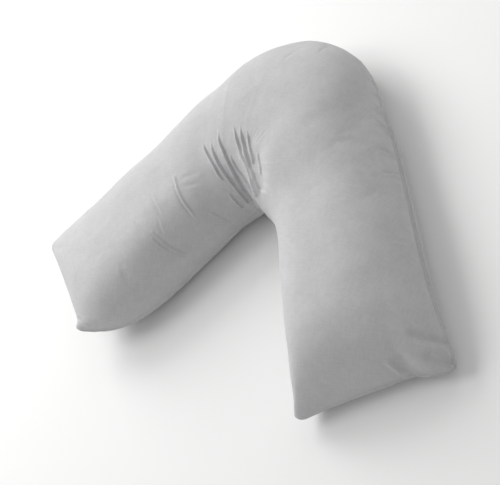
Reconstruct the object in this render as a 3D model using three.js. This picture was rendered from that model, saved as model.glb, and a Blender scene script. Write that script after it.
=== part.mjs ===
import * as THREE from 'three';

// A V shaped pillow, lying on its back: its bend points to +Y, and its two arms come down to -Y.
// It is one filled body, a front and a back panel of cotton sewn together round their edge.
// The origin is on the floor, under the middle of the pillow's outline.

// Driving dimensions, in millimetres and degrees
const filledWidth = 270; // an arm's width from seam to seam, before the sides draw in
const innerBend = 19; // radius of the seam in the notch between the arms
const outerBendRise = 175; // how far the outer bend's centre lies above the notch's
const sideSeamHeight = 48; // the seam's height above the floor along the sides
const crownHeight = 88; // how far the front panel rises above the seam
const bellyDepth = 60; // how far the back panel would hang below the seam without a floor
const crownSharpness = 2.4; // a higher value makes the panels flatter across
const crownRoundness = 2.9; // a higher value makes them fuller next to the seam
const bellyFullness = 0.85;
const endRoundness = 2.8; // how full the body is where it closes at an end
const endSeamBend = 0.6; // the share of an arm after which its seam starts to rise or drop
const cornerRounding = 8;
const cornerReach = 0.14; // the share of the half width that a rounded corner takes

// The arms. slant is from the middle line, the seams are measured from the notch's centre,
// closing is the length over which the crown comes down to the end seam.
const leftArm = { side: -1, slant: 36.2, innerSeam: 382, outerSeam: 380, closing: 260, endHeight: 68 };
const rightArm = { side: 1, slant: 36.4, innerSeam: 377, outerSeam: 393, closing: 130, endHeight: 26 };

// Sections along each arm, from the bend to the end seam: how far the inner and the outer seam
// draw in, and the crown's height as a share of crownHeight
leftArm.sections = [
  { at: 0.0, inner: 13, outer: 0, crown: 1.0 },
  { at: 0.2, inner: 8, outer: 4, crown: 1.09 },
  { at: 0.4, inner: 2, outer: 13, crown: 1.05 },
  { at: 0.6, inner: -6, outer: 13, crown: 1.03 },
  { at: 0.8, inner: -3, outer: 11, crown: 0.99 },
  { at: 0.92, inner: 12, outer: 8, crown: 0.92 },
  { at: 1.0, inner: 29, outer: 7, crown: 0.81 },
];
rightArm.sections = [
  { at: 0.0, inner: 8, outer: 24, crown: 0.97 },
  { at: 0.2, inner: 29, outer: 15, crown: 0.96 },
  { at: 0.4, inner: 28, outer: 14, crown: 0.98 },
  { at: 0.6, inner: 22, outer: 14, crown: 1.0 },
  { at: 0.8, inner: 16, outer: 15, crown: 1.0 },
  { at: 0.92, inner: 5, outer: 10, crown: 0.99 },
  { at: 1.0, inner: -9, outer: 11, crown: 0.96 },
];

// How far the end seams draw in between their corners, from the inner corner to the outer one
leftArm.endSeam = [
  { at: -1.0, draw: 0 },
  { at: -0.55, draw: 6 },
  { at: 0.0, draw: 6 },
  { at: 0.45, draw: 4 },
  { at: 0.75, draw: 2 },
  { at: 1.0, draw: 0 },
];
rightArm.endSeam = [
  { at: -1.0, draw: 0 },
  { at: -0.55, draw: 8 },
  { at: 0.0, draw: 11 },
  { at: 0.45, draw: 12 },
  { at: 0.75, draw: 1 },
  { at: 1.0, draw: 0 },
];
const endSeamReach = 0.25; // the share of an arm that follows its end seam

// The main folds of the front panel. Each is a soft groove from one place to another, measured
// in plan from the notch's centre, deepest at the middle and fading out at both ends.
const folds = [
  { fromX: -14, fromY: 24, toX: -96, toY: 100, width: 11, depth: 4 },
  { fromX: -8, fromY: 30, toX: -90, toY: 128, width: 11, depth: 5 },
  { fromX: 2, fromY: 34, toX: -66, toY: 142, width: 12, depth: 4 },
  { fromX: 14, fromY: 50, toX: -52, toY: 144, width: 11, depth: 4 },
  { fromX: -46, fromY: 30, toX: -104, toY: 88, width: 11, depth: 3 },
  { fromX: -72, fromY: -38, toX: -132, toY: 24, width: 13, depth: 3 },
  { fromX: -124, fromY: -56, toX: -166, toY: -16, width: 13, depth: 2 },
  { fromX: -98, fromY: -94, toX: -182, toY: -76, width: 14, depth: 2.5 },
  { fromX: 398, fromY: -186, toX: 358, toY: -168, width: 17, depth: 5 },
  { fromX: 446, fromY: -116, toX: 404, toY: -138, width: 15, depth: 6 },
];

// How finely the panels are divided
const acrossSteps = 24;
const bendSteps = 32;
const foldedStretch = 0.32; // the share of the left arm that the folds lie on
const foldedSteps = 20;
const plainSteps = 16;
const rightSteps = 22;

const clamp = THREE.MathUtils.clamp;
const lerp = THREE.MathUtils.lerp;
const rightAngle = Math.PI / 2;

// A smooth curve through one column of a table whose rows go up in `at`
function curve(rows, column, at) {
  const last = rows.length - 1;
  const next = clamp(rows.findIndex((row) => row.at >= at), 1, last);
  const slope = (k) => {
    const before = rows[Math.max(k - 1, 0)];
    const after = rows[Math.min(k + 1, last)];
    return (after[column] - before[column]) / (after.at - before.at);
  };
  const [a, b] = [rows[next - 1], rows[next]];
  const span = b.at - a.at;
  const t = (at - a.at) / span;
  const ease = t * t * (3 - 2 * t);
  const leaving = t * (1 - t) * (1 - t) * span * slope(next - 1);
  const arriving = t * t * (1 - t) * span * slope(next);
  return lerp(a[column], b[column], ease) + leaving - arriving;
}

// The rib across an arm at a share of its length: where the two seams lie, how far the body
// stands up and where the end seam pulls
function armRib(arm, at) {
  const slant = THREE.MathUtils.degToRad(arm.slant);
  const along = new THREE.Vector2(arm.side * Math.sin(slant), -Math.cos(slant));
  const outwards = new THREE.Vector2(arm.side * Math.cos(slant), Math.sin(slant));
  const outerStart = -outerBendRise * Math.cos(slant);
  const inner = outwards.clone().multiplyScalar(innerBend + curve(arm.sections, 'inner', at));
  const outer = outwards.clone().multiplyScalar(
    innerBend + filledWidth - curve(arm.sections, 'outer', at));
  inner.addScaledVector(along, at * arm.innerSeam);
  outer.addScaledVector(along, lerp(outerStart, arm.outerSeam, at));
  const toEnd = clamp((1 - at) * arm.innerSeam / arm.closing, 0, 1);
  const rising = clamp((at - endSeamBend) / (1 - endSeamBend), 0, 1) ** 2;
  return {
    arm, at, along, inner, outer,
    crown: crownHeight * curve(arm.sections, 'crown', at),
    fullness: Math.sqrt(1 - (1 - toEnd) ** endRoundness),
    seam: lerp(sideSeamHeight, arm.endHeight, rising),
  };
}

// The rib across the bend, turning from the left arm (0) to the right one (1)
function bendRib(turn) {
  const ease = turn * turn * (3 - 2 * turn);
  const blend = (column) => lerp(leftArm.sections[0][column], rightArm.sections[0][column], ease);
  const slant = THREE.MathUtils.degToRad(lerp(leftArm.slant, rightArm.slant, turn));
  const angle = lerp(Math.PI - slant, slant, turn);
  const outwards = new THREE.Vector2(Math.cos(angle), Math.sin(angle));
  const outerBend = innerBend + filledWidth - outerBendRise * Math.sin(slant) - blend('outer');
  return {
    inner: outwards.clone().multiplyScalar(innerBend + blend('inner')),
    outer: new THREE.Vector2(0, outerBendRise).addScaledVector(outwards, outerBend),
    crown: crownHeight * blend('crown'),
    fullness: 1,
    seam: sideSeamHeight,
  };
}

function ribs() {
  const list = [];
  const quarter = (step, steps) => Math.sin(step / steps * rightAngle);
  for (let k = 0; k < plainSteps; k += 1) {
    list.push(armRib(leftArm, lerp(foldedStretch, 1, quarter(plainSteps - k, plainSteps))));
  }
  for (let k = foldedSteps; k > 0; k -= 1) {
    list.push(armRib(leftArm, k / foldedSteps * foldedStretch));
  }
  for (let k = 0; k < bendSteps; k += 1) {
    list.push(bendRib(k / bendSteps));
  }
  for (let k = 0; k <= rightSteps; k += 1) {
    list.push(armRib(rightArm, quarter(k, rightSteps)));
  }
  return list;
}

// A point of a rib: across runs from the inner seam (-1) to the outer one (1), and panel is 1
// for the front and -1 for the back, which the floor flattens
function panelPoint(rib, across, panel) {
  const plan = rib.inner.clone().lerp(rib.outer, (across + 1) / 2);
  if (rib.arm) {
    const corner = clamp((Math.abs(across) - 1 + cornerReach) / cornerReach, 0, 1);
    const nearCorner = clamp((rib.at - 0.9) / 0.1, 0, 1);
    const nearEnd = clamp((rib.at - 1 + endSeamReach) / endSeamReach, 0, 1) ** 1.5;
    const rounding = cornerRounding * nearCorner * (1 - Math.sqrt(1 - corner * corner));
    const draw = nearEnd * curve(rib.arm.endSeam, 'draw', across);
    plan.addScaledVector(rib.along, -rounding - draw);
  }
  const crossing = Math.max(1 - Math.abs(across) ** crownSharpness, 0) ** (1 / crownRoundness);
  const height = panel > 0
    ? rib.seam + rib.crown * rib.fullness * crossing
    : Math.max(rib.seam - bellyDepth * rib.fullness * crossing ** bellyFullness, 0);
  return new THREE.Vector3(plan.x, plan.y, height);
}

// Both panels as one closed surface. They share the points of the seam all the way round.
function filledBody() {
  const list = ribs();
  const lastRib = list.length - 1;
  const points = [];
  const rows = { 1: [], [-1]: [] };
  for (const panel of [1, -1]) {
    list.forEach((rib, i) => {
      rows[panel].push([]);
      for (let j = 0; j <= acrossSteps; j += 1) {
        const onSeam = i === 0 || i === lastRib || j === 0 || j === acrossSteps;
        if (onSeam && panel < 0) {
          rows[panel][i].push(rows[1][i][j]);
          continue;
        }
        const across = Math.sin((2 * j / acrossSteps - 1) * rightAngle);
        rows[panel][i].push(points.length);
        points.push(panelPoint(rib, across, panel));
      }
    });
  }
  const faces = [];
  const addFace = (panel, a, b, c) => faces.push(...(panel > 0 ? [a, b, c] : [a, c, b]));
  for (const panel of [1, -1]) {
    const grid = rows[panel];
    for (let i = 0; i < lastRib; i += 1) {
      for (let j = 0; j < acrossSteps; j += 1) {
        const [a, b, c, d] = [grid[i][j], grid[i + 1][j], grid[i + 1][j + 1], grid[i][j + 1]];
        // the diagonals point to the nearest corner, so no face lies in the seam alone
        if ((i < lastRib / 2) === (j < acrossSteps / 2)) {
          addFace(panel, a, b, c);
          addFace(panel, a, c, d);
        } else {
          addFace(panel, a, b, d);
          addFace(panel, b, c, d);
        }
      }
    }
  }
  const geometry = new THREE.BufferGeometry().setFromPoints(points);
  geometry.setIndex(faces);
  return geometry;
}

// Presses the folds into the front panel, square to its surface
function pressFolds(geometry) {
  geometry.computeVertexNormals();
  const position = geometry.getAttribute('position');
  const normal = geometry.getAttribute('normal');
  const point = new THREE.Vector3();
  const inwards = new THREE.Vector3();
  const nearest = new THREE.Vector3();
  for (let k = 0; k < position.count; k += 1) {
    point.fromBufferAttribute(position, k);
    inwards.fromBufferAttribute(normal, k).negate();
    if (inwards.z > 0) {
      continue;
    }
    let depth = 0;
    for (const fold of folds) {
      const line = new THREE.Line3(
        new THREE.Vector3(fold.fromX, fold.fromY, 0), new THREE.Vector3(fold.toX, fold.toY, 0));
      const plan = new THREE.Vector3(point.x, point.y, 0);
      const share = line.closestPointToPointParameter(plan, true);
      const away = line.at(share, nearest).distanceTo(plan) / fold.width;
      depth += fold.depth * Math.sin(share * Math.PI) * Math.exp(-4 * away * away);
    }
    point.addScaledVector(inwards, depth);
    position.setXYZ(k, point.x, point.y, point.z);
  }
}

// Moves the origin under the middle of the outline
function centre(geometry) {
  geometry.computeBoundingBox();
  const middle = geometry.boundingBox.getCenter(new THREE.Vector3());
  geometry.translate(-middle.x, -middle.y, -geometry.boundingBox.min.z);
}

const body = filledBody();
pressFolds(body);
centre(body);
body.computeVertexNormals();

const cotton = new THREE.MeshStandardMaterial({ color: 0xdedee0, roughness: 0.95, metalness: 0 });
const pillow = new THREE.Mesh(body, cotton);
pillow.name = 'pillow';

const part = new THREE.Group();
part.name = 'v_shaped_pillow';
part.add(pillow);

export default part;
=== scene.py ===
import math

import bpy
import numpy as np
from mathutils import Matrix, Vector


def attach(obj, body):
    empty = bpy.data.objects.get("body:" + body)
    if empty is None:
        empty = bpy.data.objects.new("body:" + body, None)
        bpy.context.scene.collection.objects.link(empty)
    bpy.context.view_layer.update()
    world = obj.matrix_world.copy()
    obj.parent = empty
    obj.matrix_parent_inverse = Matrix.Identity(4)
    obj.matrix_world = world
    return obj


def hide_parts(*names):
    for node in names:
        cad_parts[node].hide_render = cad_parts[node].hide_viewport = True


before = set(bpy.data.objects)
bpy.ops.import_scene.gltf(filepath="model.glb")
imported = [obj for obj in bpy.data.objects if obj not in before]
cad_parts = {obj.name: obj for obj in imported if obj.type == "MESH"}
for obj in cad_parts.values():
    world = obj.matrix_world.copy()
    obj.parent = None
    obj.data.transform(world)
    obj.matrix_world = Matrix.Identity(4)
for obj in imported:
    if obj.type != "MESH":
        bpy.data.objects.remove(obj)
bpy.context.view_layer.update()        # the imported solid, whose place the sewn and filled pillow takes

mm = 0.001
tiny = 1e-9              # keeps a length that is divided by above nothing


# A table: its columns' names, and one dictionary for each row
def table(columns, *rows):
    return [dict(zip(columns.split(), row)) for row in rows]


# How the pillow is cut and filled, in mm, where a note doesn't say otherwise
cut = {
    "filledWidth": 270,       # seam to seam across an arm, before the sides draw in
    "innerBend": 19,          # radius of the seam in the notch
    "outerBendRise": 175,     # from the notch's centre up to the outer bend's
    "bendHalf": 96,           # half of the bend, along the middle of the pillow
    "armRun": 450,            # an arm, along its middle
    "sideSeamHeight": 48,
    "crownHeight": 88,        # the front panel's rise above the seam
    "bellyDepth": 60,         # how far the back panel would hang without a floor
    "crownSharpness": 2.4,    # more makes its top flatter
    "crownRoundness": 2.9,    # and more makes it steeper at the seams
    "bellyFullness": 0.85,    # less makes the back panel fuller
    "endRoundness": 2.8,      # more keeps an arm full closer to its end
    "endSeamBend": 0.6,       # the share of an arm after which its seam rises or drops
    "cornerReach": 0.14,      # the share of half a rib over which a corner is rounded
    "cornerFrom": 0.9,        # and of an arm: from here, over cornerRun
    "cornerRun": 0.1,
    "endSeamReach": 0.25,     # the share of an arm that follows its end seam
    "endSeamEase": 1.5,       # more leaves it to the last of the arm
    "fallFrom": -0.3,         # where a panel starts to fall off towards a seam, and over how much
    "fallOver": 0.9,
    "middle": (2.5, 29.2),    # the pillow's middle, from the notch's centre
}

# Each arm (side -1 is the left one): how many degrees it turns from straight down, where its
# seams end, over what length it closes towards its end seam, how high that seam lies, and how
# far its inner and outer corners are rounded. Its sections run from the bend (0) to the end
# seam (1): how far the inner and the outer seam draw in, the crown's share of crownHeight, how
# soon the panel falls off towards those seams (1 is late, more is sooner), and how far its
# crest lies from the middle towards the inner seam. endSeam is how far that seam draws in, from
# the inner corner (-1) to the outer one (1).
leftArm = {
    "side": -1, "slant": 36.2, "innerSeam": 382, "outerSeam": 380, "closing": 260,
    "endHeight": 68, "rounding": (5, 12),
    "sections": table(
        "at inner outer crown outerFall innerFall crest",
        (0.0, 7, -4, 1.09, 1.05, 1.1, 0.1),
        (0.1, 12, -5, 1.06, 1.0, 1.16, 0.13),
        (0.2, 9, -7, 1.09, 1.0, 1.16, 0.14),
        (0.4, 2, 6, 1.05, 1.0, 1.15, 0.12),
        (0.6, -6, 6, 1.03, 1.0, 1.1, 0.11),
        (0.8, -4, 6, 0.99, 1.0, 1.05, 0.1),
        (0.92, 15, 5, 0.92, 1.0, 1.05, 0.08),
        (1.0, 37, 5, 0.81, 1.0, 1.0, 0.0)),
    "endSeam": table(
        "at draw",
        (-1.0, -6), (-0.93, -4), (-0.86, 3), (-0.78, 5), (-0.55, 6), (0.0, 6), (0.45, 4),
        (0.75, 2), (1.0, 0)),
}
rightArm = {
    "side": 1, "slant": 36.4, "innerSeam": 377, "outerSeam": 393, "closing": 145,
    "endHeight": 26, "rounding": (13, 10),
    "sections": table(
        "at inner outer crown outerFall innerFall crest",
        (0.0, 5, 22, 1.1, 1.25, 1.0, 0.12),
        (0.1, 25, 18, 1.03, 1.5, 1.0, 0.18),
        (0.2, 32, 14, 0.97, 1.6, 1.0, 0.2),
        (0.4, 30, 13, 0.98, 1.66, 1.0, 0.17),
        (0.6, 25, 14, 1.0, 1.68, 1.0, 0.14),
        (0.8, 18.5, 13, 1.0, 1.62, 1.0, 0.1),
        (0.92, 5, 10, 0.99, 1.42, 1.0, 0.06),
        (1.0, -11, 9, 0.96, 1.15, 1.0, 0.0)),
    "endSeam": table(
        "at draw",
        (-1.0, 0), (-0.55, 8), (0.0, 11), (0.42, 13), (0.51, 12.5), (0.57, 9), (0.66, 5),
        (0.82, 2), (1.0, -3)),
}


# Rises from 0 to 1, gently at both ends
def soften(share):
    share = np.clip(share, 0, 1)
    return share * share * (3 - 2 * share)


# A smooth curve through one column of a table
def curveThrough(rows, column, at):
    ats = np.array([row["at"] for row in rows], float)
    values = np.array([row[column] for row in rows], float)
    last = len(rows) - 1
    after = np.minimum(np.arange(last + 1) + 1, last)
    before = np.maximum(np.arange(last + 1) - 1, 0)
    slopes = (values[after] - values[before]) / (ats[after] - ats[before])
    k = np.clip(np.searchsorted(ats, at), 1, last)
    span = ats[k] - ats[k - 1]
    t = (at - ats[k - 1]) / span
    ease = t * t * (3 - 2 * t)
    leaving = t * (1 - t) ** 2 * span * slopes[k - 1]
    arriving = t * t * (1 - t) * span * slopes[k]
    return values[k - 1] + (values[k] - values[k - 1]) * ease + leaving - arriving


# The ribs across the pillow at places along its middle, in mm from the bend's middle: minus is
# the left arm, plus the right one
def ribsAt(along):
    along = np.asarray(along, float)
    shapes = ("outerFall", "innerFall", "crest")
    share = np.clip((np.abs(along) - cut["bendHalf"]) / cut["armRun"], 0, 1)
    ribs = {name: np.zeros(len(along)) for name in shapes + ("crown", "fullness", "seam")}
    ribs.update({name: np.zeros((len(along), 2)) for name in ("inner", "outer", "down")})
    ribs["share"] = share
    ribs["left"] = along < 0
    for arm in (leftArm, rightArm):
        here = (along * arm["side"] > 0) & (share > 0)
        at = share[here]
        slant = math.radians(arm["slant"])
        down = np.array([arm["side"] * math.sin(slant), -math.cos(slant)])
        outwards = np.array([arm["side"] * math.cos(slant), math.sin(slant)])
        inner = cut["innerBend"] + curveThrough(arm["sections"], "inner", at)
        outer = cut["innerBend"] + cut["filledWidth"] - curveThrough(arm["sections"], "outer", at)
        outerStart = -cut["outerBendRise"] * math.cos(slant)
        outerAlong = outerStart + at * (arm["outerSeam"] - outerStart)
        toEnd = np.clip((1 - at) * arm["innerSeam"] / arm["closing"], 0, 1)
        rising = np.clip((at - cut["endSeamBend"]) / (1 - cut["endSeamBend"]), 0, 1) ** 2
        ribs["inner"][here] = np.outer(inner, outwards) + np.outer(at * arm["innerSeam"], down)
        ribs["outer"][here] = np.outer(outer, outwards) + np.outer(outerAlong, down)
        ribs["down"][here] = down
        ribs["crown"][here] = cut["crownHeight"] * curveThrough(arm["sections"], "crown", at)
        for name in shapes:
            ribs[name][here] = curveThrough(arm["sections"], name, at)
        ribs["fullness"][here] = np.sqrt(1 - (1 - toEnd) ** cut["endRoundness"])
        ribs["seam"][here] = cut["sideSeamHeight"] * (1 - rising) + arm["endHeight"] * rising
    here = share == 0
    turn = (along[here] / cut["bendHalf"] + 1) / 2
    first, second = leftArm["sections"][0], rightArm["sections"][0]
    blend = {name: first[name] + (second[name] - first[name]) * soften(turn) for name in first}
    slant = np.radians(leftArm["slant"] + (rightArm["slant"] - leftArm["slant"]) * turn)
    angle = (math.pi - slant) * (1 - turn) + slant * turn
    outwards = np.stack([np.cos(angle), np.sin(angle)], 1)
    rise = cut["outerBendRise"]
    outer = cut["innerBend"] + cut["filledWidth"] - rise * np.sin(slant) - blend["outer"]
    ribs["inner"][here] = outwards * (cut["innerBend"] + blend["inner"])[:, None]
    ribs["outer"][here] = np.array([0, rise]) + outwards * outer[:, None]
    ribs["crown"][here] = cut["crownHeight"] * blend["crown"]
    for name in shapes:
        ribs[name][here] = blend[name]
    ribs["fullness"][here] = 1
    ribs["seam"][here] = cut["sideSeamHeight"]
    return ribs


# Points of those ribs, across from the inner seam (-1) to the outer one (1), on the front or
# the back panel. The floor flattens the back one.
def panelPoints(ribs, across, front):
    across = np.broadcast_to(across, (len(ribs["share"]), np.shape(across)[-1]))
    t = ((across + 1) / 2)[:, :, None]
    plan = ribs["inner"][:, None] * (1 - t) + ribs["outer"][:, None] * t
    reach = cut["cornerReach"]
    corner = np.clip((np.abs(across) - 1 + reach) / reach, 0, 1)
    nearCorner = np.clip((ribs["share"] - cut["cornerFrom"]) / cut["cornerRun"], 0, 1)[:, None]
    nearEnd = np.clip((ribs["share"] - 1 + cut["endSeamReach"]) / cut["endSeamReach"], 0, 1)
    nearEnd = nearEnd ** cut["endSeamEase"]
    draws = [curveThrough(arm["endSeam"], "draw", across) for arm in (leftArm, rightArm)]
    draw = nearEnd[:, None] * np.where(ribs["left"][:, None], *draws)
    roundings = [np.where(across < 0, *arm["rounding"]) for arm in (leftArm, rightArm)]
    rounding = np.where(ribs["left"][:, None], *roundings)
    rounding = rounding * nearCorner * (1 - np.sqrt(1 - corner * corner))
    plan = plan - ribs["down"][:, None] * (rounding + draw)[:, :, None]
    fromCrest = across + ribs["crest"][:, None] * (1 - across * across) * front
    crossing = np.maximum(1 - np.abs(fromCrest) ** cut["crownSharpness"], 0)
    crossing = crossing ** (1 / cut["crownRoundness"])
    seam, crown, fullness = (ribs[name][:, None] for name in ("seam", "crown", "fullness"))
    if front:
        for name, away in (("outerFall", across), ("innerFall", -across)):
            share = soften((away - cut["fallFrom"]) / cut["fallOver"])
            crossing = crossing ** (1 + (ribs[name][:, None] - 1) * share)
        height = seam + crown * fullness * crossing
    else:
        belly = cut["bellyDepth"] * fullness * crossing ** cut["bellyFullness"]
        height = np.maximum(seam - belly, 0)
    return np.concatenate([plan, height[:, :, None]], 2)


# How far along a line each of its points lies
def lengthsOf(points):
    steps = np.linalg.norm(np.diff(points, axis=0), axis=1)
    return np.concatenate([[0], np.cumsum(steps)])


# The net of points that the cloth is made of. It lies closer where folds and seams need it, and
# the finished cloth is twice as fine as these counts.
net = {
    "ribs": 300,
    "rows": 92,            # across one panel
    "closerAtFolds": 3.2,  # how much closer the ribs lie over the folds beside the notch
    "foldsFrom": -165,     # mm from the bend's middle, as in ribsAt
    "foldsTo": 50,
    "foldsEase": 15,
    "closerInside": 2.7,   # and the rows over the inner side, down to the notch
    "insideShare": 0.42,
    "insideEase": 0.04,
    "closerAtSeams": 2.8,
    "seamBand": 10,
    "commonRib": -200,     # the rib whose rows are taken for all
    "tries": 6001,         # places that are weighed up on the way
    "easing": 10,          # mm of its neighbours that a rib is averaged with
}


# The places of the ribs along the pillow, and of the rows across it
def netPlaces():
    reach = cut["bendHalf"] + cut["armRun"]
    fine = np.sin(np.linspace(-math.pi / 2, math.pi / 2, net["tries"]))
    along = fine * reach
    lengths = lengthsOf(panelPoints(ribsAt(along), np.array([0.0]), True)[:, 0])
    middle = (along[1:] + along[:-1]) / 2
    over = 1 / (1 + np.exp((net["foldsFrom"] - middle) / net["foldsEase"]))
    over = over / (1 + np.exp((middle - net["foldsTo"]) / net["foldsEase"]))
    middleLength = (lengths[1:] + lengths[:-1]) / 2
    toEnd = np.minimum(middleLength, lengths[-1] - middleLength)
    closer = 1 + (net["closerAtFolds"] - 1) * over
    closer = closer + (net["closerAtSeams"] - 1) * np.exp(-(toEnd / net["seamBand"]) ** 2)
    weighted = np.concatenate([[0], np.cumsum(np.diff(lengths) * closer)])
    ribPlaces = np.interp(np.linspace(0, weighted[-1], 2 * net["ribs"] - 1), weighted, along)
    section = lengthsOf(panelPoints(ribsAt([net["commonRib"]]), fine, True)[0])
    middle = (section[1:] + section[:-1]) / 2
    toSeam = np.minimum(middle, section[-1] - middle)
    closer = 1 + (net["closerAtSeams"] - 1) * np.exp(-(toSeam / net["seamBand"]) ** 2)
    outside = 1 + np.exp((middle / section[-1] - net["insideShare"]) / net["insideEase"])
    closer = closer + (net["closerInside"] - 1) / outside
    weighted = np.concatenate([[0], np.cumsum(np.diff(section) * closer)])
    rowPlaces = np.interp(np.linspace(0, weighted[-1], 2 * net["rows"] - 1), weighted, fine)
    rowPlaces[0], rowPlaces[-1] = -1, 1
    return ribPlaces, rowPlaces


# How far the inner seam hangs below the widest line of the body, in mm along the cloth
hang = table(
    "at by",
    (-550, 0), (-500, 4), (-420, 15), (-180, 17), (-60, 9), (20, 0), (550, 0))


# The whole body as rings, one for each rib: over the front panel from the inner seam to the
# outer one, and back under the pillow
def filledRings(ribPlaces, rowPlaces):
    ribs = ribsAt(ribPlaces)
    finer = 4            # points for each row while the cloth is shared out
    steps = np.arange(finer * (len(rowPlaces) - 1) + 1) / finer
    fine = np.interp(steps, np.arange(len(rowPlaces)), rowPlaces)
    front = panelPoints(ribs, fine, True)
    back = panelPoints(ribs, fine, False)
    rings = []
    for rib, by in enumerate(curveThrough(hang, "by", ribPlaces)):
        whole = np.concatenate([back[rib, :0:-1], front[rib]])
        lengths = lengthsOf(whole)
        split = lengths[len(fine) - 1]
        over = lengths[len(fine) - 1::finer]
        under = lengths[len(fine) - 1::-finer]
        frontLength = lengths[-1] - split
        over = split - by + (over - split) * (frontLength + by) / frontLength
        under = under * (split - by) / split
        places = np.concatenate([over, under[-2:0:-1]])
        rings.append(np.stack([np.interp(places, lengths, whole[:, axis]) for axis in range(3)], 1))
    return easedAlong(np.array(rings))


# Every rib takes the mean of those close to it, so that the arms run smoothly into the bend. The
# few at the ends take less of it, so the pillow stays as long.
def easedAlong(rings):
    middleRow = rings.shape[1] // 4
    reach = lengthsOf(rings[:, middleRow])
    width = np.minimum(net["easing"], np.minimum(reach, reach[-1] - reach) / 3 + 0.1)
    weights = np.exp(-((reach[:, None] - reach) / width[:, None]) ** 2) * np.gradient(reach)
    return np.tensordot(weights / weights.sum(1, keepdims=True), rings, 1)


# The way that the cloth faces at every point, out of the pillow
def ringNormals(rings):
    aroundStep = np.roll(rings, -1, 1) - np.roll(rings, 1, 1)
    alongStep = np.gradient(rings, axis=0)
    normals = np.cross(alongStep, aroundStep)
    normals[0], normals[-1] = normals[1], normals[-2]
    return normals / np.maximum(np.linalg.norm(normals, axis=2, keepdims=True), tiny)


# Both ends of the tube of rings close in a seam, where the two panels share their points
def ringMesh(name, rings):
    ribCount, ringCount = rings.shape[:2]
    ids = np.arange(ribCount * ringCount).reshape(ribCount, ringCount)
    mirrored = -np.arange(ringCount) % ringCount
    under = np.arange(ringCount) > ringCount // 2
    for end in (0, -1):
        ids[end, under] = ids[end, mirrored[under]]
    used, compact = np.unique(ids, return_inverse=True)
    ids = compact.reshape(ids.shape)
    nextIds = np.roll(ids, -1, 1)
    faces = np.stack([ids[:-1], ids[1:], nextIds[1:], nextIds[:-1]], 2).reshape(-1, 4)
    mesh = bpy.data.meshes.new(name)
    mesh.from_pydata((rings.reshape(-1, 3)[used] * mm).tolist(), [], faces.tolist())
    mesh.polygons.foreach_set("use_smooth", [True] * len(mesh.polygons))
    piece = bpy.data.objects.new(name, mesh)
    bpy.context.scene.collection.objects.link(piece)
    return piece, ids


# Every point's place on the flat cloth that its panel was cut from, so that the threads run
# one way over the whole panel, as they do in cut cloth
def cutPanels(mesh, rings):
    rowCount = rings.shape[1] // 2 + 1
    apart = 1500         # mm between the two panels on the flat cloth
    ribs = ribsAt(ribPlaces)
    across = ribs["outer"] - ribs["inner"]
    across /= np.linalg.norm(across, axis=1, keepdims=True)
    halves = [rings[:, :rowCount], np.concatenate([rings[:, rowCount - 1:], rings[:, :1]], 1)]
    flats = []
    for number, half in enumerate(halves):
        steps = np.linalg.norm(np.diff(half, axis=1), axis=2)
        lengths = np.concatenate([np.zeros((len(half), 1)), np.cumsum(steps, 1)], 1)
        middle = lengths[:, rowCount // 2]
        spine = np.diff(half[:, rowCount // 2], axis=0)
        plan = spine[:, :2] / np.maximum(np.linalg.norm(spine[:, :2], axis=1, keepdims=True), tiny)
        plan = plan * np.linalg.norm(spine, axis=1, keepdims=True)
        spine = [apart * number, 0] + np.concatenate([np.zeros((1, 2)), np.cumsum(plan, 0)])
        reach = (lengths - middle[:, None]) * (1 - 2 * number)
        flats.append(spine[:, None] + across[:, None] * reach[:, :, None])
    here = np.concatenate([flat[:, :-1] for flat in flats], 1)
    beside = np.concatenate([flat[:, 1:] for flat in flats], 1)
    corners = np.stack([here[:-1], here[1:], beside[1:], beside[:-1]], 2)
    layer = mesh.uv_layers.new(name="cutPanel")
    layer.data.foreach_set("uv", (corners.reshape(-1) * mm).astype(np.float32))


# Halfway points between the points of a grid, so that it gets twice as fine. Each lies on the
# smooth curve through two points on either side of it.
def twiceAsFine(grid, closed):
    if closed:
        before, here, after, last = (np.roll(grid, shift, 0) for shift in (1, 0, -1, -2))
    else:
        padded = np.concatenate([2 * grid[:1] - grid[1:2], grid, 2 * grid[-1:] - grid[-2:-1]])
        before, here, after, last = padded[:-3], padded[1:-2], padded[2:-1], padded[3:]
    halfway = (9 * (here + after) - before - last) / 16
    fine = np.empty((len(here) * 2,) + grid.shape[1:])
    fine[0::2], fine[1::2] = here, halfway
    return fine if closed else np.concatenate([fine, grid[-1:]])


# How far every point lies from the seams, along the cloth, and where along a side seam it is
def seamMeasures(rings):
    rowCount = rings.shape[1] // 2 + 1
    front = rings[:, :rowCount]
    back = np.concatenate([rings[:, rowCount - 1:], rings[:, :1]], 1)[:, ::-1]
    halves = []
    for panel in (front, back):
        across = np.linalg.norm(np.diff(panel, axis=1), axis=2)
        across = np.concatenate([np.zeros((len(panel), 1)), np.cumsum(across, 1)], 1)
        along = np.linalg.norm(np.diff(panel, axis=0), axis=2)
        along = np.concatenate([np.zeros((1, panel.shape[1])), np.cumsum(along, 0)])
        halves.append([across, across[:, -1:] - across, along, along[-1:] - along])
    joined = [np.concatenate([first, second[:, -2:0:-1]], 1) for first, second in zip(*halves)]
    measures = dict(zip(("fromInner", "fromOuter", "fromLeftEnd", "fromRightEnd"), joined))
    measures["fromSeam"] = np.minimum.reduce(joined)
    measures["alongInner"] = lengthsOf(rings[:, 0])[:, None]
    measures["alongOuter"] = lengthsOf(rings[:, rowCount - 1])[:, None]
    measures["front"] = np.arange(rings.shape[1]) < rowCount
    return measures


# A rounded ridge: 1 in its middle, and next to nothing at twice its width
def bump(distance, width):
    return np.exp(-(distance / width) ** 2)


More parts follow.
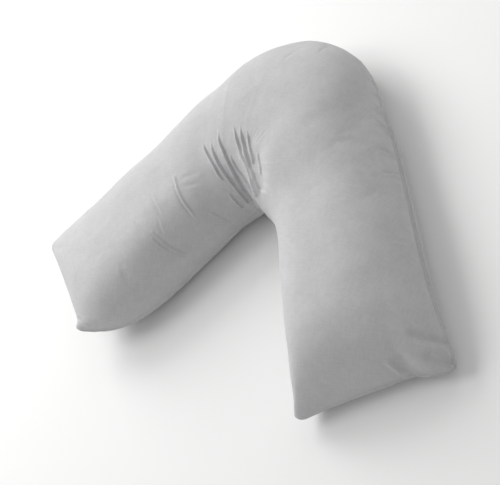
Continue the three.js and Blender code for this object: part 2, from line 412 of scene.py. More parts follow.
# The cloth is sewn a little small, then filled: pressure swells it while its seams hold
filling = {
    "startSmaller": 2,     # mm
    "pressure": 4.0,
    "looseness": 0.003,    # the cloth's spare length, which puckers it
    "frames": 18,
    "furthest": 1.8,       # mm that any point may move
    "calmSeams": 60,       # mm beside the seams over which the movement grows
    "stiffness": 12,
    "shear": 4.0,
    "bending": 0.35,
    "mass": 0.3,
    "quality": 5,
}


# How far the filling moves the cloth from the wanted rings
def fill(wanted):
    rowCount = wanted.shape[1] // 2 + 1
    small = wanted - ringNormals(wanted) * filling["startSmaller"]
    for row in (0, rowCount - 1):
        small[:, row] = wanted[:, row]
    small[0], small[-1] = wanted[0], wanted[-1]
    small[:, :, 2] = np.maximum(small[:, :, 2], 0)
    piece, ids = ringMesh("filling", small)
    seams = np.unique(np.concatenate([ids[0], ids[-1], ids[:, 0], ids[:, rowCount - 1]]))
    held = piece.vertex_groups.new(name="seams")
    held.add(seams.tolist(), 1.0, "REPLACE")
    cloth = piece.modifiers.new("cloth", "CLOTH")
    settings = cloth.settings
    settings.quality = filling["quality"]
    settings.mass = filling["mass"]
    for kind in ("tension", "compression"):
        setattr(settings, f"{kind}_stiffness", filling["stiffness"])
    settings.shear_stiffness = filling["shear"]
    settings.bending_stiffness = filling["bending"]
    settings.use_pressure = True
    settings.uniform_pressure_force = filling["pressure"]
    settings.vertex_group_mass = "seams"
    settings.shrink_min = -filling["looseness"]
    settings.effector_weights.gravity = 0
    cloth.collision_settings.use_collision = False
    cloth.point_cache.frame_start, cloth.point_cache.frame_end = 1, filling["frames"]
    for step in range(1, filling["frames"] + 1):
        bpy.context.scene.frame_set(step)
    filled = piece.evaluated_get(bpy.context.evaluated_depsgraph_get())
    places = np.empty(len(filled.data.vertices) * 3, np.float32)
    filled.data.vertices.foreach_get("co", places)
    moved = (places.reshape(-1, 3) / mm)[ids] - small
    bpy.context.scene.frame_set(1)
    bpy.data.objects.remove(piece)
    length = np.linalg.norm(moved, axis=2, keepdims=True)
    limit = filling["furthest"]
    moved *= limit * np.tanh(length / limit) / np.maximum(length, tiny)
    grown = soften(seamMeasures(wanted)["fromSeam"] / filling["calmSeams"])
    return (small + moved - wanted) * grown[:, :, None]


# The folds of the front panel: a ridge as wide as width, a hollow to the right of it as the path
# is walked, both in mm, and the path itself. It runs over places along the pillow (mm from the
# bend's middle, the left arm is minus) and across it (-1 inner seam, 1 outer seam).
folds = table(
    "ridge hollow width path",
    # the fan above the notch, from the notch upwards
    (3.8, 1.2, 1.5, [(-107, -0.74), (-115, -0.66), (-121, -0.54), (-130, -0.395),
                     (-139, -0.24), (-146, -0.11)]),
    (4.8, 1.1, 1.4, [(-57, -0.99), (-62, -0.955), (-77, -0.89), (-93, -0.79), (-104, -0.66),
                     (-113, -0.51), (-121, -0.34), (-126, -0.185)]),
    (5.0, 1.3, 1.4, [(-20, -0.992), (-27, -0.96), (-42, -0.90), (-58, -0.82), (-74, -0.71),
                     (-88, -0.58), (-98, -0.43), (-105, -0.28), (-107, -0.14)]),
    (3.4, 1.2, 1.5, [(86, -0.975), (54, -0.96), (17, -0.92), (-18, -0.847), (-50, -0.743),
                     (-69, -0.62), (-76, -0.53)]),
    (4.0, 1.2, 1.5, [(108, -0.90), (94, -0.86), (64, -0.825), (23, -0.768), (-21, -0.656),
                     (-46, -0.51), (-60, -0.363), (-69, -0.216)]),
    (4.9, 1.5, 1.6, [(114, -0.87), (102, -0.82), (76, -0.785), (31, -0.742), (-7, -0.63),
                     (-28, -0.518), (-42, -0.394), (-52, -0.268)]),
    (3.4, 0.4, 1.6, [(40, -0.694), (15, -0.625), (-4, -0.549), (-16, -0.462), (-29, -0.357)]),
    (2.8, 0.6, 1.8, [(101, -0.693), (83, -0.659), (56, -0.624), (28, -0.57)]),
    (2.6, 1.6, 1.6, [(-100, -0.984), (-103, -0.962), (-106, -0.914), (-107, -0.856)]),
    # the cloth gathered under the fan: a broad swelling, and a shallow valley beside it
    (4.4, 0.0, 11, [(101, -0.93), (78, -0.87), (55, -0.81), (18, -0.74), (-18, -0.63), (-36, -0.52)]),
    (-2.2, 0.0, 12, [(116, -0.84), (108, -0.73), (82, -0.66), (50, -0.60), (20, -0.52)]),
    (1.0, 0.6, 2.4, [(-144, -0.99), (-152, -0.94), (-164, -0.85)]),
    # the left arm, from its middle down to the inner seam
    (2.8, 1.8, 2.0, [(-215, -0.2), (-210, -0.38), (-206, -0.505), (-200, -0.644), (-194, -0.75),
                     (-189, -0.857)]),
    (1.3, 1.5, 2.2, [(-272, -0.11), (-265, -0.27), (-258, -0.42), (-254, -0.54)]),
    (0.6, 1.2, 2.2, [(-264, -0.54), (-264, -0.62), (-263, -0.72)]),
    (0.8, 1.3, 2.2, [(-321, -0.26), (-312, -0.41), (-303, -0.55)]),
    (2.2, 1.2, 1.9, [(-291, -0.555), (-282, -0.68), (-275, -0.78), (-268, -0.857),
                     (-259, -0.927), (-249, -0.976)]),
    (1.7, 1.2, 1.9, [(-296, -0.62), (-290, -0.72), (-282, -0.806), (-274, -0.872)]),
    # its corners
    (1.4, 1.4, 3.0, [(-534, -0.78), (-522, -0.89), (-514, -0.97)]),
    (1.4, 0.0, 7.0, [(-543, 0.95), (-528, 0.86)]),
    # the right arm's end: two kinks of the cloth, and the dents between them
    (4.6, 0.0, 3.2, [(546, 0.42), (541, 0.40), (536, 0.37), (529, 0.32)]),
    (3.0, 0.0, 3.2, [(547, 0.52), (545, 0.47), (541, 0.42)]),
    (-2.6, 0.0, 9.0, [(549, 0.68), (543, 0.58), (537, 0.51), (524, 0.46)]),
    (-4.4, 0.0, 6.5, [(515, 1.0), (514, 0.96), (512, 0.87), (508, 0.77), (499, 0.68)]),
    (-4.2, 0.0, 7.5, [(541, 1.0), (539, 0.92), (536, 0.83), (528, 0.74)]),
    # puckers at the outer seam of the bend and the right arm
    (2.0, 2.4, 2.4, [(66, 0.995), (58, 0.985), (50, 0.96)]),
    (2.2, 3.0, 2.4, [(84, 0.995), (78, 0.98), (70, 0.95)]),
    (2.0, 2.6, 2.2, [(128, 0.997), (117, 0.992), (104, 0.985)]),
    (2.4, 3.2, 2.3, [(165, 0.99), (146, 0.975), (132, 0.94)]),
    (2.4, 3.2, 2.4, [(187, 0.99), (170, 0.94), (158, 0.88)]),
    (2.0, 2.4, 2.4, [(229, 0.985), (221, 0.93), (215, 0.85)]),
    (1.6, 2.2, 2.5, [(262, 0.987), (260, 0.93), (258, 0.85)]),
    (0.7, 1.0, 3.0, [(379, 0.98), (376, 0.89), (370, 0.78)]))
foldShape = {
    "hollowAway": 1.75,      # in widths of the ridge, as the next one
    "hollowWidth": 1.2,
    "fading": (0.05, 0.24),  # the shares of a fold's length over which its start and its end fade
    "startDepth": 0.6,       # the share of its hollow's depth that it starts with
    "deepFrom": 0.6,         # and the share of its length from which it has all of it
    "points": 90,            # along a fold
    "room": 5,               # how many widths from its path a fold still shows
}


# A smooth line through a few points
def lineThrough(points, count):
    points = np.asarray(points, float)
    padded = np.concatenate([2 * points[:1] - points[1:2], points, 2 * points[-1:] - points[-2:-1]])
    place = np.linspace(0, len(points) - 1, count)
    k = np.minimum(place.astype(int), len(points) - 2)
    t = (place - k)[:, None]
    before, here, after, last = (padded[k + step] for step in range(4))
    return 0.5 * (2 * here + (after - before) * t + (2 * before - 5 * here + 4 * after - last) * t ** 2
                  + (3 * here - before - 3 * after + last) * t ** 3)


# Places of the front panel as points of its surface
def onFront(rings, along, across):
    i = np.interp(along, ribPlaces, np.arange(len(ribPlaces)))
    j = np.interp(across, rowPlaces, np.arange(len(rowPlaces)))
    i0 = np.minimum(i.astype(int), len(ribPlaces) - 2)
    j0 = np.minimum(j.astype(int), len(rowPlaces) - 2)
    u, v = (i - i0)[:, None], (j - j0)[:, None]
    return ((rings[i0, j0] * (1 - u) + rings[i0 + 1, j0] * u) * (1 - v)
            + (rings[i0, j0 + 1] * (1 - u) + rings[i0 + 1, j0 + 1] * u) * v)


# How far the folds lift or lower each point, in mm
def foldRelief(rings, normals):
    relief = np.zeros(rings.shape[:2])
    rowCount = len(rowPlaces)
    for fold in folds:
        places = lineThrough(fold["path"], foldShape["points"])
        line = onFront(rings, places[:, 0], places[:, 1])
        ahead = np.gradient(line, axis=0)
        ahead /= np.linalg.norm(ahead, axis=1, keepdims=True)
        lengths = lengthsOf(line)
        room = foldShape["room"] * fold["width"]
        low, high = line.min(0) - room, line.max(0) + room
        near = ((rings[:, :rowCount] > low) & (rings[:, :rowCount] < high)).all(2)
        points, facing = rings[:, :rowCount][near], normals[:, :rowCount][near]
        gaps = points[:, None] - line[None]
        nearest = np.argmin((gaps ** 2).sum(2), 1)
        gap = gaps[np.arange(len(points)), nearest]
        toRight = (gap * np.cross(ahead[nearest], facing)).sum(1)
        beyond = (gap * ahead[nearest]).sum(1)
        distance = np.sqrt(np.maximum((gap ** 2).sum(1) - beyond ** 2, 0))
        away = np.where(toRight < 0, -distance, distance) / fold["width"]
        share = (lengths[nearest] + beyond) / lengths[-1]
        start, end = foldShape["fading"]
        fade = soften(share / start) * soften((1 - share) / end)
        hollow = fold["hollow"] * bump(away - foldShape["hollowAway"], foldShape["hollowWidth"])
        deeper = (1 - foldShape["startDepth"]) * soften(share / foldShape["deepFrom"])
        hollow *= foldShape["startDepth"] + deeper
        relief[:, :rowCount][near] += fade * (fold["ridge"] * bump(away, 1) - hollow)
    return relief


# The seam: the panels meet in a narrow groove, the allowance turned inside lifts the cloth
# beside it, and the closing stitches draw in a faint second line on the front panel
seam = {
    "groove": 4.0, "grooveWidth": 1.5,
    "welt": 1.4, "weltAt": 3.6, "weltWidth": 1.6,
    "stitchLine": 1.7, "stitchLineAt": 6.6, "stitchLineWidth": 1.1,
    "swellAt": 13, "swellWidth": 9,
    "puckerSpacing": 9, "puckerReach": 18, "puckerHeight": 0.9, "puckerShare": 0.6,
    "nearSteepness": 3,      # how soon the short puckers rise and fade
    "farSteepness": 2.2,     # and the longer ones, which are spaced longerSpacing times as far
    "longerSpacing": 2.3,
    "unevenness": 0.35,      # how far a pucker strays from its place
    "leastHeight": 0.2,
    "seed": 7,
    "longerSeed": 10,        # added to it for the longer ones
}
# Along the pillow: how much either side seam gathers, how deep its groove shows, and how far
# the back panel swells out beside the outer seam, in mm
gathers = table(
    "at inner outer innerDeep outerDeep swell",
    (-550, 0.5, 0.3, 0.5, 0.6, 0),
    (-400, 0.8, 0.3, 0.35, 0.6, 0),
    (-200, 0.6, 0.3, 0.3, 0.6, 0),
    (-80, 1.2, 0.4, 0.4, 0.6, 0),
    (0, 1.6, 0.6, 0.6, 0.8, 0),
    (80, 1.2, 1.1, 0.6, 0.8, -1.0),
    (158, 0.7, 1.1, 0.6, 1.1, -2.0),
    (174, 0.6, 1.1, 0.6, 1.1, 3.0),
    (260, 0.5, 0.9, 0.6, 1.1, 2.0),
    (400, 0.4, 0.6, 0.6, 1.1, 1.4),
    (500, 0.4, 0.6, 0.5, 1.0, 0.4),
    (535, 0.4, 0.6, 0.2, 0.5, 0),
    (550, 0.4, 0.6, 0.15, 0.4, 0))


# Uneven waves along a seam, in mm of its length
def wavesAlong(places, spacing, seed):
    draw = np.random.default_rng(seed)
    spare = 2            # knots before the seam starts, and a few more after its end
    count = int(np.max(places) / spacing) + 3 * spare
    strays = draw.uniform(-seam["unevenness"], seam["unevenness"], count)
    knots = (np.arange(count) + strays - spare) * spacing
    heights = draw.uniform(seam["leastHeight"], 1.0, count) * np.where(np.arange(count) % 2, 1, -1)
    k = np.clip(np.searchsorted(knots, places), 1, count - 1)
    t = soften((places - knots[k - 1]) / (knots[k] - knots[k - 1]))
    return heights[k - 1] + (heights[k] - heights[k - 1]) * t


# Rises from 0 at the seam to about 1, and fades again: sooner the steeper it is
def riseAndFade(away, steepness):
    toOne = 2.7          # what its top has to be multiplied by
    return toOne * away * steepness * np.exp(-away * steepness)


# How far the seam lifts or lowers each point, in mm
def seamRelief(measures):
    away, front = measures["fromSeam"], measures["front"]
    names = [name for name in gathers[0] if name != "at"]
    local = {name: curveThrough(gathers, name, ribPlaces)[:, None] for name in names}
    nearInner = measures["fromInner"] < measures["fromOuter"]
    deep = np.where(nearInner, local["innerDeep"], local["outerDeep"])
    line = seam["stitchLine"] * bump(away - seam["stitchLineAt"], seam["stitchLineWidth"])
    relief = seam["welt"] * bump(away - seam["weltAt"], seam["weltWidth"]) - np.where(front, line, 0)
    relief = (relief - seam["groove"] * bump(away, seam["grooveWidth"])) * deep
    swell = local["swell"] * bump(measures["fromOuter"] - seam["swellAt"], seam["swellWidth"])
    relief = relief + np.where(front, 0, swell)
    for number, side in enumerate(("Inner", "Outer")):
        distance = measures["from" + side] / seam["puckerReach"]
        near = riseAndFade(distance, seam["nearSteepness"])
        far = riseAndFade(distance, seam["farSteepness"])
        places = measures["along" + side]
        for panel in (True, False):
            seed = seam["seed"] + 2 * number + panel
            short = wavesAlong(places, seam["puckerSpacing"], seed)
            longSpacing = seam["puckerSpacing"] * seam["longerSpacing"]
            long = wavesAlong(places, longSpacing, seed + seam["longerSeed"])
            pucker = (short * near + long * far) * seam["puckerShare"]
            pucker = seam["puckerHeight"] * local[side.lower()] * pucker
            relief = relief + np.where(front == panel, pucker, 0)
    return relief


# The filling's own unevenness: soft lumps under the cloth, in mm
lumps = {
    "layers": table(
        "across height count seed",
        (170, 1.3, 9, 3),
        (70, 0.35, 14, 5),
        (26, 0.10, 20, 9)),
    "closeness": (0.7, 1.3),  # drawn between the two for each wave; over 1 is closer than across
    "calmSeams": 40,          # mm beside the seams over which they grow
}


def lumpRelief(rings):
    relief = np.zeros(rings.shape[:2])
    for layer in lumps["layers"]:
        draw = np.random.default_rng(layer["seed"])
        for _ in range(layer["count"]):
            direction = draw.normal(size=3)
            toAcross = 2 * math.pi / layer["across"] / np.linalg.norm(direction)
            direction *= toAcross * draw.uniform(*lumps["closeness"])
            wave = np.sin(rings @ direction + draw.uniform(0, 2 * math.pi))
            relief += wave * layer["height"] / math.sqrt(layer["count"])
    return relief


print("net of the cloth")
ribPlaces, rowPlaces = netPlaces()
rings = filledRings(ribPlaces, rowPlaces)
print("filling the cloth")
swelling = fill(filledRings(ribPlaces[::2], rowPlaces[::2]))
swelling = twiceAsFine(swelling, False)
rings = rings + np.swapaxes(twiceAsFine(np.swapaxes(swelling, 0, 1), True), 0, 1)
print("folds and seam")
measures = seamMeasures(rings)
normals = ringNormals(rings)
relief = foldRelief(rings, normals) + seamRelief(measures)
relief += lumpRelief(rings) * soften(measures["fromSeam"] / lumps["calmSeams"])
rings = rings + normals * relief[:, :, None]
rings[:, :, 2] = np.maximum(rings[:, :, 2], 0)
rings[:, :, :2] -= cut["middle"]
body = ringMesh("pillowBody", rings)[0]
cutPanels(body.data, rings)
print(len(body.data.polygons), "faces of cloth")


# Linear values of an sRGB colour, by that standard's own curve
def colour(code):
    parts = [int(code[k:k + 2], 16) / 255 for k in (1, 3, 5)]
    curved = [((part + 0.055) / 1.055) ** 2.4 for part in parts]
    return [part / 12.92 if part <= 0.04045 else up for part, up in zip(parts, curved)] + [1]


# Adds a node: its settings by name, its inputs as values or as other nodes' outputs
def addNode(tree, kind, inputs=None, **settings):
    made = tree.nodes.new(kind)
    for name, value in settings.items():
        setattr(made, name, value)
    for name, value in (inputs or {}).items():
        if isinstance(value, bpy.types.NodeSocket):
            tree.links.new(value, made.inputs[name])
        else:
            made.inputs[name].default_value = value
    return made


# An empty material, and its tree of nodes
def newMaterial(name):
    material = bpy.data.materials.new(name)
    material.use_nodes = True
    material.node_tree.nodes.clear()
    return material, material.node_tree


# The cotton cloth: lengths are in mm
weave = {
    "light": "#d0d0d1",
    "shade": "#c0c0c1",
    "toneFrom": 0.3,         # the part of the mottling that runs from shade to light
    "toneTo": 0.7,
    "threadSpacing": 1.1,    # mm; the real cloth's is about 0.3, too fine to draw
    "threadHeight": 0.10,
    "wander": 0.5,           # how far the threads stray from straight
    "wanderSize": 30,
    "slubWidth": 2.6,        # a slub is a thicker place in a thread
    "slubLength": 18,
    "mottleSize": 46,
    "mottleShare": 0.35,     # of the tone; the slubs have the rest
    "mottleRoughness": 0.6,
    "unevenSize": 15,
    "unevenHeight": 0.35,
    "roughness": 0.92,
    "specular": 0.2,
    "sheen": 0.12,
    "sheenRoughness": 0.5,
}


# Plain-weave cotton, washed and unironed: threads cross one over one, so it looks matt and even
# from afar, with faint streaks where a thread is thicker, and a soft bloom of fibre ends
def plainWeaveCotton():
    material, tree = newMaterial("plainWeaveCotton")
    place = addNode(tree, "ShaderNodeUVMap", uv_map="cutPanel").outputs["UV"]
    body = addNode(tree, "ShaderNodeTexCoord").outputs["Object"]
    stray = addNode(tree, "ShaderNodeTexNoise",
                    {"Vector": place, "Scale": 1 / (weave["wanderSize"] * mm), "Detail": 2.0})
    stray = addNode(tree, "ShaderNodeVectorMath",
                    {0: stray.outputs["Color"], "Scale": weave["wander"] * mm}, operation="SCALE")
    strayed = addNode(tree, "ShaderNodeVectorMath", {0: place, 1: stray.outputs["Vector"]},
                      operation="ADD")
    turnsEach = 2 * math.pi / (weave["threadSpacing"] * mm)
    turns = addNode(tree, "ShaderNodeVectorMath", {0: strayed.outputs["Vector"], "Scale": turnsEach},
                    operation="SCALE")
    turn = addNode(tree, "ShaderNodeSeparateXYZ", {0: turns.outputs["Vector"]})
    warp = addNode(tree, "ShaderNodeMath", {0: turn.outputs["X"]}, operation="SINE")
    weft = addNode(tree, "ShaderNodeMath", {0: turn.outputs["Y"]}, operation="SINE")
    crossing = addNode(tree, "ShaderNodeMath", {0: warp.outputs[0], 1: weft.outputs[0]},
                       operation="MULTIPLY")
    streaks = []
    for across, along in ((1, 0), (0, 1)):
        size = [weave["slubWidth"], weave["slubLength"]]
        scale = (1 / (size[across] * mm), 1 / (size[along] * mm), 1)
        stretched = addNode(tree, "ShaderNodeVectorMath", {0: place, 1: scale}, operation="MULTIPLY")
        streak = addNode(tree, "ShaderNodeTexNoise",
                         {"Vector": stretched.outputs["Vector"], "Scale": 1.0, "Detail": 1.0})
        streaks.append(streak.outputs["Fac"])
    slubs = addNode(tree, "ShaderNodeMix", {"Factor": 0.5, "A": streaks[0], "B": streaks[1]})
    mottle = addNode(tree, "ShaderNodeTexNoise",
                     {"Vector": body, "Scale": 1 / (weave["mottleSize"] * mm), "Detail": 4.0,
                      "Roughness": weave["mottleRoughness"]})
    both = addNode(tree, "ShaderNodeMix",
                   {"Factor": weave["mottleShare"], "A": slubs.outputs[0], "B": mottle.outputs["Fac"]})
    share = addNode(tree, "ShaderNodeMapRange",
                    {"Value": both.outputs[0], "From Min": weave["toneFrom"],
                     "From Max": weave["toneTo"]})
    tone = addNode(tree, "ShaderNodeMix",
                   {"Factor": share.outputs["Result"], "A": colour(weave["shade"]),
                    "B": colour(weave["light"])}, data_type="RGBA")
    uneven = addNode(tree, "ShaderNodeTexNoise",
                     {"Vector": body, "Scale": 1 / (weave["unevenSize"] * mm), "Detail": 2.0})
    soft = addNode(tree, "ShaderNodeBump",
                   {"Height": uneven.outputs["Fac"], "Strength": 1.0,
                    "Distance": weave["unevenHeight"] * mm})
    threads = addNode(tree, "ShaderNodeBump",
                      {"Height": crossing.outputs[0], "Strength": 1.0,
                       "Distance": weave["threadHeight"] * mm, "Normal": soft.outputs[0]})
    shader = addNode(tree, "ShaderNodeBsdfPrincipled",
                     {"Base Color": tone.outputs["Result"], "Normal": threads.outputs[0],
                      "Roughness": weave["roughness"], "Specular IOR Level": weave["specular"],
                      "Sheen Weight": weave["sheen"], "Sheen Roughness": weave["sheenRoughness"]})
    addNode(tree, "ShaderNodeOutputMaterial", {"Surface": shader.outputs[0]})
    return material


body.data.materials.append(plainWeaveCotton())
print("cotton")

# The closing stitches, a line of short loops of thread on the front panel, round the whole edge
stitching = {
    "spacing": 3.6,          # mm
    "length": 2.7,
    "thickness": 0.45,
    "rise": 0.7,
    "sunk": 0.6,             # the share of its thickness that a stitch's ends lie under the cloth
    "turning": 5,            # degrees that a stitch may lie askew
    "steps": 5,              # along a loop
    "sides": 6,              # round the thread
    "seed": 11,
    "thread": "#d2d2d3",
    "twist": 0.5,            # mm from one strand to the next
    "strandHeight": 0.1,
    "strandStrength": 0.5,
    "roughness": 0.55,
    "specular": 0.4,
}


# The line that the stitches follow, and the way that the cloth faces there
def stitchLine(rings, measures):
    sides = {"fromInner": 1, "fromRightEnd": 1, "fromOuter": -1, "fromLeftEnd": -1}
    front = slice(0, len(rowPlaces))
    cloth = np.concatenate([rings, ringNormals(rings)], 2)[:, front]
    known = cloth.shape[2]
    line = []
    # along each seam, the place at the wanted distance from it, where the other seams are no nearer
    for name, order in sides.items():
        atEnd = name.endswith("End")
        others = [measures[other][:, front, None] for other in sides if other.endswith("End") != atEnd]
        grid = np.concatenate([cloth] + others, 2)
        away = measures[name][:, front]
        if atEnd:
            grid, away = np.swapaxes(grid, 0, 1), away.T
        if name in ("fromRightEnd", "fromOuter"):
            grid, away = grid[:, ::-1], away[:, ::-1]
        columns = range(grid.shape[2])
        at = seam["stitchLineAt"]
        found = np.array([[np.interp(at, distance, values[:, column]) for column in columns]
                          for distance, values in zip(away, grid)])
        inside = (found[:, known:] >= at).all(1)
        line.append(found[inside][::order, :known])
    line = np.concatenate(line)
    return line[:, :3], line[:, 3:]


# Nodes that set loops of thread along a line. The lengths among their inputs are in metres, and
# the turning is in radians.
def stitchNodes():
    tree = bpy.data.node_groups.new("stitchesAlongLine", "GeometryNodeTree")
    sockets = {"Line": "Geometry", "Spacing": "Float", "Stitch Length": "Float",
               "Thread Thickness": "Float", "Rise": "Float", "Turning": "Float", "Seed": "Int",
               "Thread": "Material"}
    for name, kind in sockets.items():
        tree.interface.new_socket(name, in_out="INPUT", socket_type="NodeSocket" + kind)
    tree.interface.new_socket("Stitches", in_out="OUTPUT", socket_type="NodeSocketGeometry")
    given = addNode(tree, "NodeGroupInput").outputs
    # points along the line, with the way that a stitch lies and faces there
    curve = addNode(tree, "GeometryNodeMeshToCurve", {"Mesh": given["Line"]})
    points = addNode(tree, "GeometryNodeCurveToPoints",
                     {"Curve": curve.outputs[0], "Length": given["Spacing"]}, mode="LENGTH")
    facing = addNode(tree, "GeometryNodeInputNamedAttribute", {"Name": "facing"},
                     data_type="FLOAT_VECTOR")
    ahead = addNode(tree, "FunctionNodeAlignRotationToVector", {"Vector": points.outputs["Tangent"]},
                    axis="X")
    upright = addNode(tree, "FunctionNodeAlignRotationToVector",
                      {"Rotation": ahead.outputs[0], "Vector": facing.outputs["Attribute"]},
                      axis="Z", pivot_axis="X")
    # one loop of thread, whose ends lie under the cloth
    half = addNode(tree, "ShaderNodeMath", {0: given["Stitch Length"], 1: 0.5}, operation="MULTIPLY")
    before = addNode(tree, "ShaderNodeMath", {0: half.outputs[0], 1: -1.0}, operation="MULTIPLY")
    sunk = addNode(tree, "ShaderNodeMath", {0: given["Thread Thickness"], 1: -stitching["sunk"]},
                   operation="MULTIPLY")
    start = addNode(tree, "ShaderNodeCombineXYZ", {"X": before.outputs[0], "Z": sunk.outputs[0]})
    middle = addNode(tree, "ShaderNodeCombineXYZ", {"Z": given["Rise"]})
    end = addNode(tree, "ShaderNodeCombineXYZ", {"X": half.outputs[0], "Z": sunk.outputs[0]})
    loop = addNode(tree, "GeometryNodeCurveQuadraticBezier",
                   {"Resolution": stitching["steps"], "Start": start.outputs[0],
                    "Middle": middle.outputs[0], "End": end.outputs[0]})
    radius = addNode(tree, "ShaderNodeMath", {0: given["Thread Thickness"], 1: 0.5},
                     operation="MULTIPLY")
    section = addNode(tree, "GeometryNodeCurvePrimitiveCircle",
                      {"Resolution": stitching["sides"], "Radius": radius.outputs[0]})
    thread = addNode(tree, "GeometryNodeCurveToMesh",
                     {"Curve": loop.outputs[0], "Profile Curve": section.outputs[0],
                      "Fill Caps": True})
    thread = addNode(tree, "GeometryNodeSetShadeSmooth", {"Geometry": thread.outputs[0]})
    # each one a little askew
    least = addNode(tree, "ShaderNodeMath", {0: given["Turning"], 1: -1.0}, operation="MULTIPLY")
    turning = addNode(tree, "FunctionNodeRandomValue",
                      {2: least.outputs[0], 3: given["Turning"], "Seed": given["Seed"]},
                      data_type="FLOAT")
    turned = addNode(tree, "ShaderNodeCombineXYZ", {"Z": turning.outputs[1]})
    askew = addNode(tree, "FunctionNodeEulerToRotation", {"Euler": turned.outputs[0]})
    lying = addNode(tree, "FunctionNodeRotateRotation",
                    {"Rotation": upright.outputs[0], "Rotate By": askew.outputs[0]},
                    rotation_space="LOCAL")
    placed = addNode(tree, "GeometryNodeInstanceOnPoints",
                     {"Points": points.outputs["Points"], "Instance": thread.outputs[0],
                      "Rotation": lying.outputs[0]})
    real = addNode(tree, "GeometryNodeRealizeInstances", {"Geometry": placed.outputs[0]})
    sewn = addNode(tree, "GeometryNodeSetMaterial",
                   {"Geometry": real.outputs[0], "Material": given["Thread"]})
    addNode(tree, "NodeGroupOutput", {"Stitches": sewn.outputs[0]})
    return tree


# Polyester sewing thread: strands twisted together, smoother than the cloth, with a soft gloss
def polyesterThread():
    material, tree = newMaterial("polyesterThread")
    place = addNode(tree, "ShaderNodeTexCoord").outputs["Object"]
    strands = addNode(tree, "ShaderNodeTexNoise",
                      {"Vector": place, "Scale": 1 / (stitching["twist"] * mm), "Detail": 1.0})
    bumps = addNode(tree, "ShaderNodeBump",
                    {"Height": strands.outputs["Fac"], "Strength": stitching["strandStrength"],
                     "Distance": stitching["strandHeight"] * mm})
    shader = addNode(tree, "ShaderNodeBsdfPrincipled",
                     {"Base Color": colour(stitching["thread"]), "Normal": bumps.outputs[0],
                      "Roughness": stitching["roughness"],
                      "Specular IOR Level": stitching["specular"]})
    addNode(tree, "ShaderNodeOutputMaterial", {"Surface": shader.outputs[0]})
    return material


# The line becomes a curve of points in Blender, and the nodes turn it into loops of thread
def sewClosingStitches():
    places, facings = stitchLine(rings, measures)
    count = len(places)
    mesh = bpy.data.meshes.new("closingStitches")
    mesh.from_pydata((places * mm).tolist(), [(k, (k + 1) % count) for k in range(count)], [])
    facing = mesh.attributes.new("facing", "FLOAT_VECTOR", "POINT")
    facing.data.foreach_set("vector", facings.reshape(-1).astype(np.float32))
    piece = bpy.data.objects.new("closingStitches", mesh)
    bpy.context.scene.collection.objects.link(piece)
    nodes = piece.modifiers.new("stitches", "NODES")
    nodes.node_group = stitchNodes()
    values = {"Spacing": stitching["spacing"] * mm, "Stitch Length": stitching["length"] * mm,
              "Thread Thickness": stitching["thickness"] * mm, "Rise": stitching["rise"] * mm,
              "Turning": math.radians(stitching["turning"]), "Seed": stitching["seed"],
              "Thread": polyesterThread()}
    for socket in nodes.node_group.interface.items_tree:
        if socket.name in values:
            nodes[socket.identifier] = values[socket.name]
    made = piece.evaluated_get(bpy.context.evaluated_depsgraph_get())
    piece.data = bpy.data.meshes.new_from_object(made)
    piece.modifiers.remove(nodes)
    return piece


stitches = sewClosingStitches()
print(len(stitches.data.polygons), "faces of stitches")

# Where the photo was taken from: degrees, metres from the place that it aims at, and the lens
# in mm
camera = {
    "azimuth": 71.3, "elevation": 45.1, "roll": -52.2, "distance": 1.8646,
    "aim": (0.0162, -0.0714, 0.060), "lens": 79.6, "farthest": 20,
}


def aimCamera():
    names = ("azimuth", "elevation", "roll")
    azimuth, elevation, roll = (math.radians(camera[name]) for name in names)
    level = math.cos(elevation)
    back = Vector((math.sin(azimuth) * level, -math.cos(azimuth) * level, math.sin(elevation)))
    right = Vector((math.cos(azimuth), math.sin(azimuth), 0))
    up = back.cross(right)
    turnedRight = right * math.cos(roll) + up * math.sin(roll)
    turnedUp = up * math.cos(roll) - right * math.sin(roll)
    view = bpy.data.objects.new("camera", bpy.data.cameras.new("camera"))
    view.data.lens = camera["lens"]
    view.data.clip_end = camera["farthest"]
    turned = Matrix((turnedRight, turnedUp, back)).transposed().to_4x4()
    view.matrix_world = Matrix.Translation(Vector(camera["aim"]) + back * camera["distance"]) @ turned
    bpy.context.scene.collection.objects.link(view)
    bpy.context.scene.camera = view


aimCamera()
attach(body, "root")
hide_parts("pillow")
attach(stitches, "root")

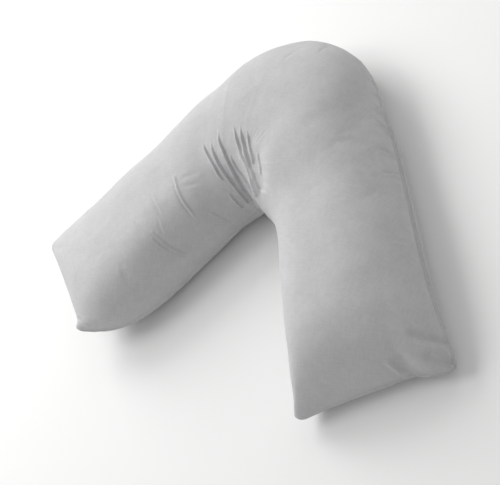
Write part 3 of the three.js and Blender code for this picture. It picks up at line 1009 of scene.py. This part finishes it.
# The plain floor and the soft light: metres, degrees and watts
studio = {
    "floorHalf": 6,
    "floor": "#f6f6f5",
    "floorRoughness": 0.9,
    "floorSpecular": 0.1,
    "sky": 0.425,
    "lights": table(
        "name azimuth elevation distance size power",
        ("key", 160, 30, 4, 2.4, 112),
        ("left", 203, 48, 4, 2.0, 49),
        ("top", 95, 40, 4, 2.4, 16)),
}


# Matt paper: rough, and next to no shine
def plainFloor():
    reach = studio["floorHalf"]
    mesh = bpy.data.meshes.new("floor")
    corners = [(-reach, -reach, 0), (reach, -reach, 0), (reach, reach, 0), (-reach, reach, 0)]
    mesh.from_pydata(corners, [], [(0, 1, 2, 3)])
    floor = bpy.data.objects.new("floor", mesh)
    bpy.context.scene.collection.objects.link(floor)
    material, tree = newMaterial("mattPaper")
    shader = addNode(tree, "ShaderNodeBsdfPrincipled",
                     {"Base Color": colour(studio["floor"]), "Roughness": studio["floorRoughness"],
                      "Specular IOR Level": studio["floorSpecular"]})
    addNode(tree, "ShaderNodeOutputMaterial", {"Surface": shader.outputs[0]})
    mesh.materials.append(material)
    return floor


def softLights():
    for light in studio["lights"]:
        data = bpy.data.lights.new(light["name"], "AREA")
        data.energy = light["power"]
        data.size = light["size"]
        lamp = bpy.data.objects.new(light["name"], data)
        bpy.context.scene.collection.objects.link(lamp)
        azimuth, elevation = math.radians(light["azimuth"]), math.radians(light["elevation"])
        level = math.cos(elevation)
        direction = Vector((math.cos(azimuth) * level, math.sin(azimuth) * level, math.sin(elevation)))
        lamp.location = direction * light["distance"]
        lamp.rotation_euler = direction.to_track_quat("Z", "Y").to_euler()
    world = bpy.data.worlds.new("sky")
    world.use_nodes = True
    world.node_tree.nodes.clear()
    sky = addNode(world.node_tree, "ShaderNodeBackground",
                  {"Color": (1, 1, 1, 1), "Strength": studio["sky"]})
    addNode(world.node_tree, "ShaderNodeOutputWorld", {"Surface": sky.outputs[0]})
    bpy.context.scene.world = world


plainFloor()
softLights()
print(len(studio["lights"]), "soft lights")
bpy.context.scene.view_settings.view_transform = "Standard"
